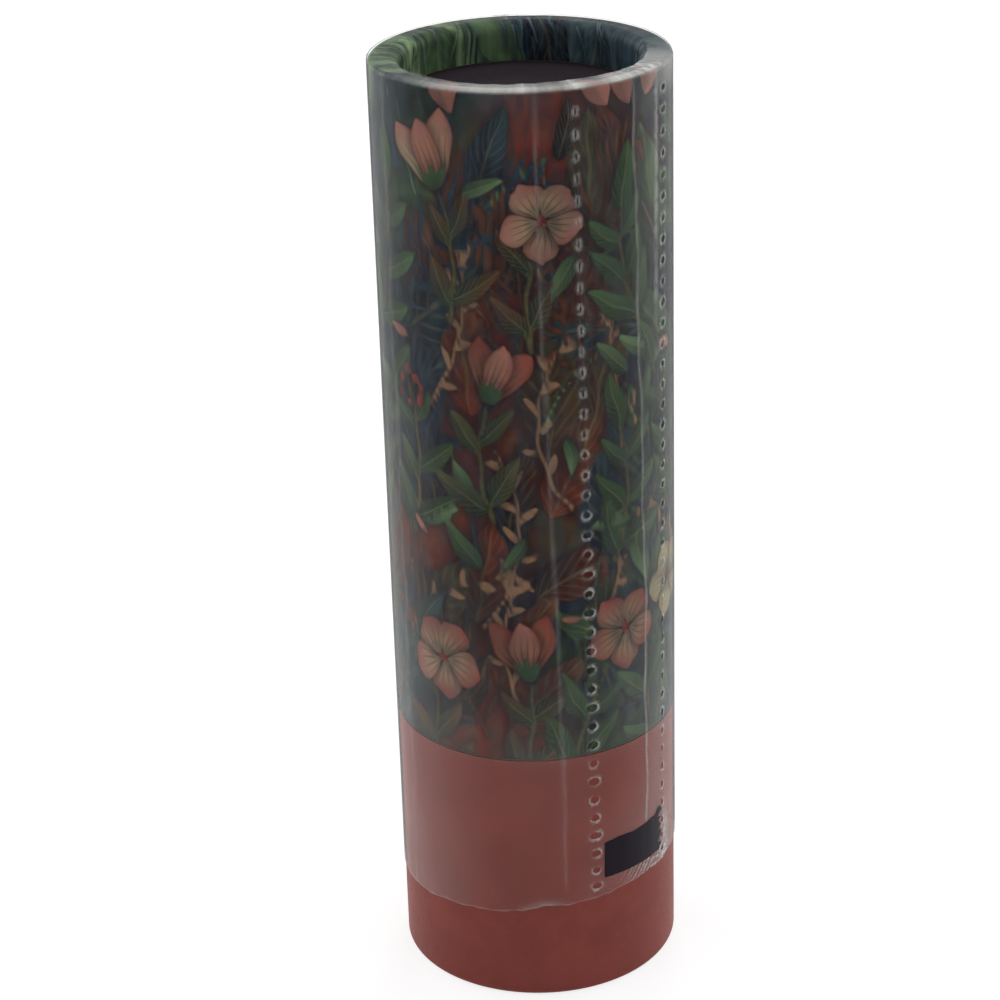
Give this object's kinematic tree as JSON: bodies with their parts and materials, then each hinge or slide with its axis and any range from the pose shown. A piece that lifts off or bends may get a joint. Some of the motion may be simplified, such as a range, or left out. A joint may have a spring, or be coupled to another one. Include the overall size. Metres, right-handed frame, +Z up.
{
  "type": "lipstick",
  "caption": "Twist-up lipstick in a round paperboard tube with a lift-off cap, sealed in clear shrink film with a perforated tear strip.",
  "frame": {"origin": "centre of the foot ring, on the surface that the tube stands on", "axes": "+Z up along the tube's axis; -Y towards the viewer of the picture, +X to their right"},
  "size_m": [0.0228, 0.0228, 0.0756],
  "materials": {
    "brick_paper": "satin",
    "printed_paper": "satin",
    "kraft_board": "matte",
    "brick_board": "matte",
    "dark_board": "matte",
    "pale_plastic": "satin",
    "black_plastic": "gloss",
    "dark_rubber": "matte",
    "brick_rose_wax": "satin",
    "clear_film": "gloss"
  },
  "bodies": {
    "base": {"base_wrap": "brick_paper", "base_tube": "kraft_board", "base_sleeve": "kraft_board", "base_disc": "brick_board", "guide_tube": "pale_plastic", "friction_ring": "dark_rubber"},
    "twist_unit": {"collar": "black_plastic", "spiral_sleeve": "pale_plastic"},
    "carrier": {"carrier_cup": "black_plastic", "lipstick_bullet": "brick_rose_wax"},
    "cap": {"cap_wrap": "printed_paper", "cap_tube": "kraft_board", "cap_liner": "kraft_board", "cap_disc": "dark_board"},
    "film": {"film_sleeve": "clear_film"},
    "strip": {"tear_strip": "clear_film"}
  },
  "joints": [
    {"name": "collar_twist", "type": "hinge", "parent": "base", "child": "twist_unit", "pos_m": [0, 0, 0], "axis": [0, 0, -1], "range_deg": [0, 810]},
    {"name": "carrier_rise", "type": "slide", "parent": "base", "child": "carrier", "axis": [0, 0, 1], "range_m": [0, 0.0283]},
    {"name": "cap_pull", "type": "slide", "parent": "twist_unit", "child": "cap", "axis": [0, 0, 1], "range_m": [0, 0.055]},
    {"name": "film_slide", "type": "slide", "parent": "cap", "child": "film", "axis": [0, 0, 1], "range_m": [0, 0.07]},
    {"name": "tear_strip_pull", "type": "slide", "parent": "film", "child": "strip", "axis": [0.6788, -0.7343, 0], "range_m": [0, 0.02]}
  ],
  "couplings": [
    {"joint": "carrier_rise", "follows": "collar_twist", "m_per_rad": 0.0020018}
  ]
}
